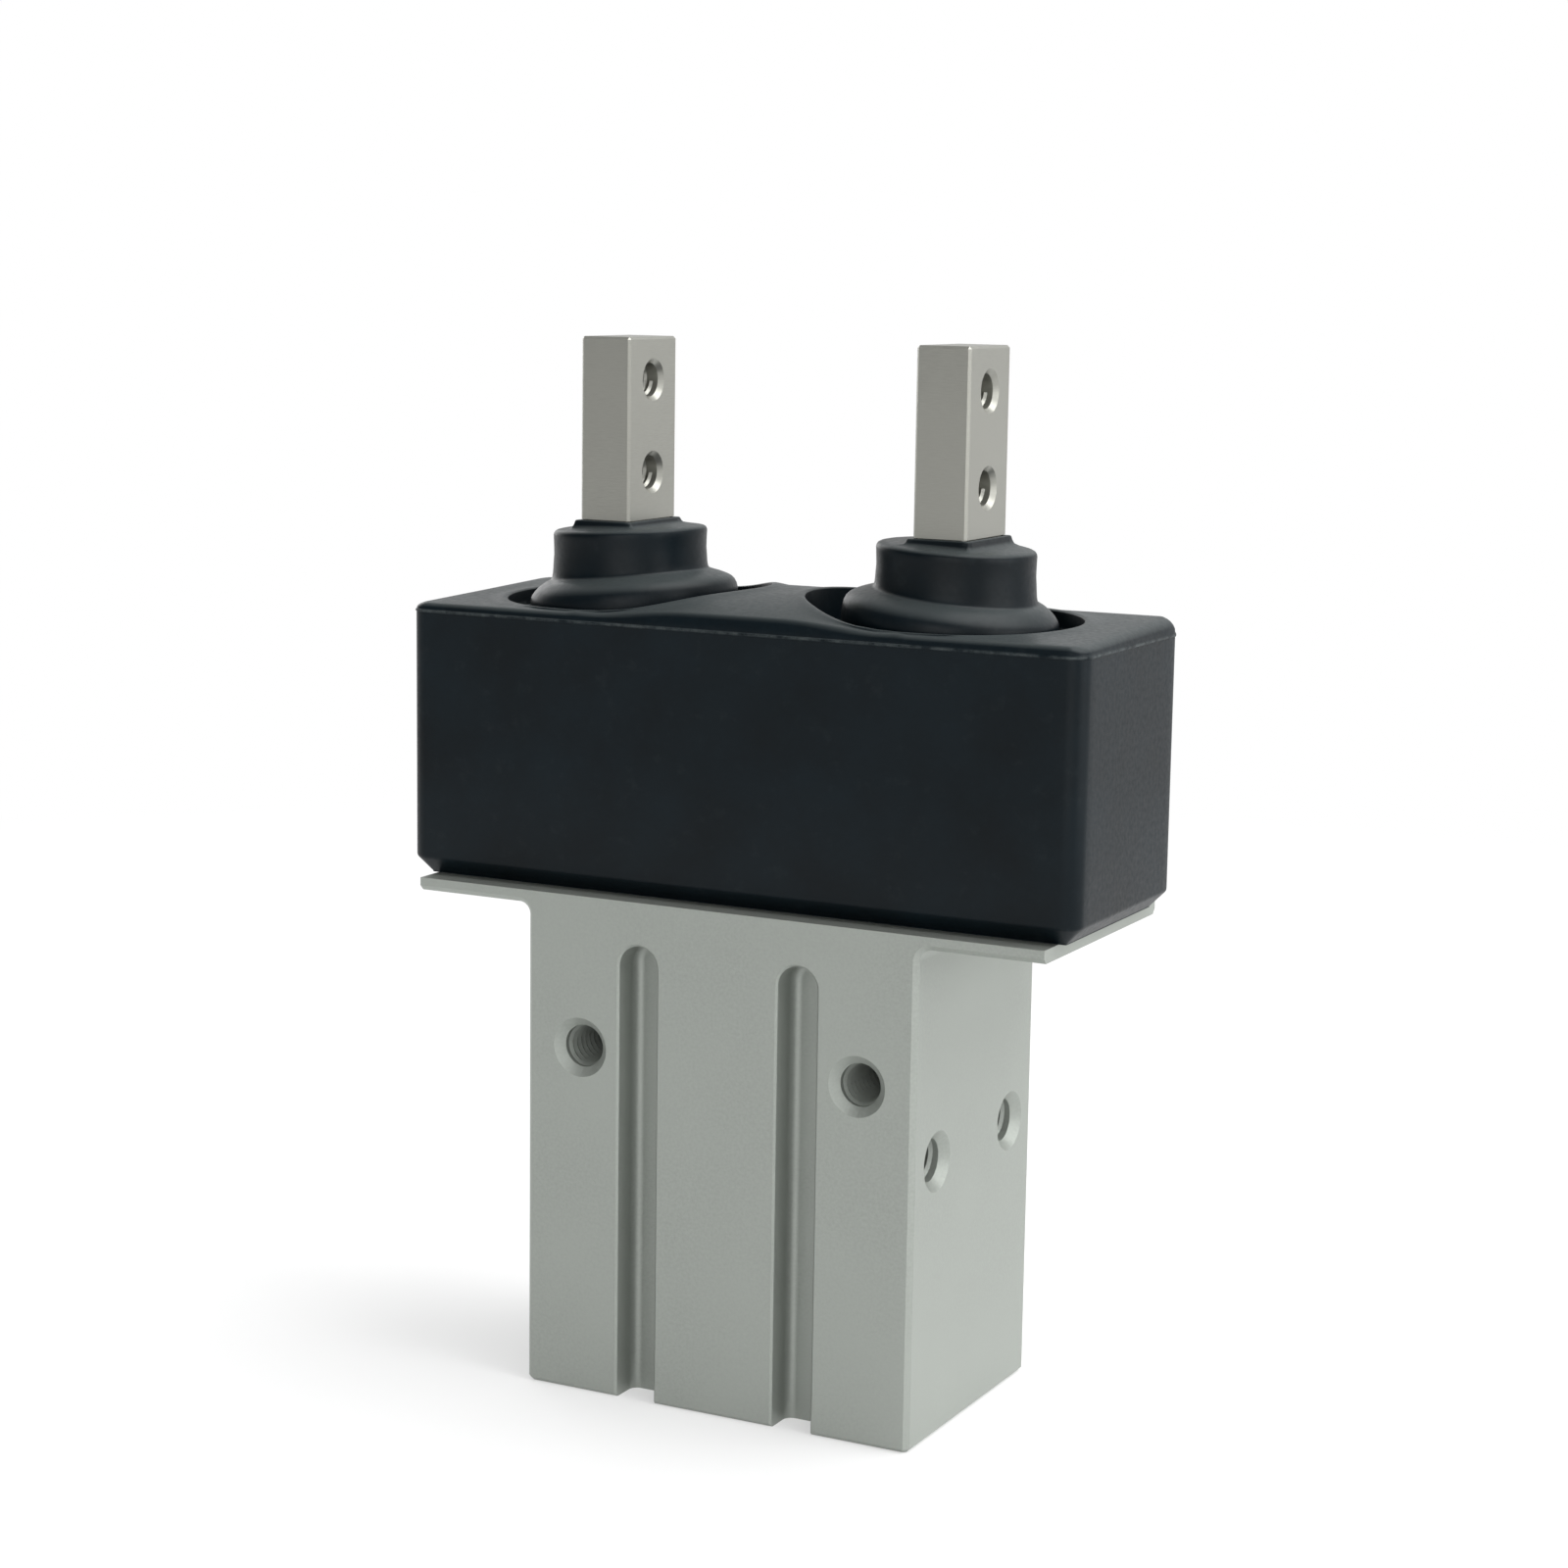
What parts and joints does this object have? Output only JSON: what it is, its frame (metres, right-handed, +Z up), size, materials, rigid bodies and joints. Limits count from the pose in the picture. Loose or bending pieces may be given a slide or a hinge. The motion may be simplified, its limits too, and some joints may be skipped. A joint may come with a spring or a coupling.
{
  "type": "pneumatic gripper",
  "caption": "Two-finger parallel air gripper: slim metal body with switch grooves and air ports, rubber dust cover with bellows, and two upright jaws that slide together.",
  "frame": {"origin": "centre of the foot, the flat face opposite the fingers", "axes": "+X along the jaw travel, towards the face with the air ports; +Y from the front to the back; +Z up along the fingers"},
  "size_m": [0.0716, 0.0276, 0.1032],
  "materials": {
    "anodised_aluminium": "satin hard-anodised",
    "end_cap_aluminium": "turned",
    "nitrile_rubber": "smooth",
    "spring_steel": "blackened spring steel",
    "bumper_rubber": "smooth",
    "piston_aluminium": "turned",
    "magnet_compound": "moulded magnet compound",
    "chromed_rod": "hard-chromed and ground",
    "screw_steel": "blackened",
    "guide_steel": "ground",
    "pin_steel": "ground",
    "cover_rubber": "matte moulded",
    "lever_steel": "hardened",
    "finger_steel": "fine satin",
    "ball_steel": "polished"
  },
  "bodies": {
    "casing": {"body": "anodised_aluminium", "end_cap": "end_cap_aluminium", "end_cap_o_ring": "nitrile_rubber", "retaining_ring": "spring_steel", "head_bumper": "bumper_rubber", "rod_bumper": "bumper_rubber", "rod_seal": "nitrile_rubber", "rod_seal_retainer": "pin_steel", "finger_guide": "guide_steel", "guide_screws": "screw_steel", "ball_stop_pins": "pin_steel", "lever_shaft_left": "pin_steel", "lever_shaft_right": "pin_steel", "dust_cover": "cover_rubber"},
    "piston_unit": {"piston": "piston_aluminium", "piston_seal": "nitrile_rubber", "magnet": "magnet_compound", "piston_rod": "chromed_rod", "piston_screw": "screw_steel"},
    "left_lever": {"lever_left": "lever_steel"},
    "right_lever": {"lever_right": "lever_steel"},
    "left_finger": {"finger_left": "finger_steel", "bellows_left": "cover_rubber"},
    "right_finger": {"finger_right": "finger_steel", "bellows_right": "cover_rubber"},
    "left_balls": {"balls_left": "ball_steel"},
    "right_balls": {"balls_right": "ball_steel"}
  },
  "joints": [
    {"name": "piston_stroke", "type": "slide", "parent": "casing", "child": "piston_unit", "axis": [0, 0, -1], "range_m": [0, 0.00292]},
    {"name": "left_finger_slide", "type": "slide", "parent": "casing", "child": "left_finger", "axis": [1, 0, 0], "range_m": [0, 0.005]},
    {"name": "left_lever_swing", "type": "hinge", "parent": "casing", "child": "left_lever", "pos_m": [-0.009, 0, 0.0445], "axis": [0, 1, 0], "range_deg": [0, 24.05]},
    {"name": "left_balls_roll", "type": "slide", "parent": "casing", "child": "left_balls", "axis": [1, 0, 0], "range_m": [0, 0.0025]},
    {"name": "right_finger_slide", "type": "slide", "parent": "casing", "child": "right_finger", "axis": [-1, 0, 0], "range_m": [0, 0.005]},
    {"name": "right_lever_swing", "type": "hinge", "parent": "casing", "child": "right_lever", "pos_m": [0.009, 0, 0.0445], "axis": [0, -1, 0], "range_deg": [0, 24.05]},
    {"name": "right_balls_roll", "type": "slide", "parent": "casing", "child": "right_balls", "axis": [-1, 0, 0], "range_m": [0, 0.0025]}
  ],
  "couplings": [
    {"joint": "left_finger_slide", "follows": "piston_stroke", "ratio": 1.7143},
    {"joint": "left_lever_swing", "follows": "piston_stroke", "rad_per_m": 143.91},
    {"joint": "left_balls_roll", "follows": "piston_stroke", "ratio": 0.85714},
    {"joint": "right_finger_slide", "follows": "piston_stroke", "ratio": 1.7143},
    {"joint": "right_lever_swing", "follows": "piston_stroke", "rad_per_m": 143.91},
    {"joint": "right_balls_roll", "follows": "piston_stroke", "ratio": 0.85714}
  ]
}
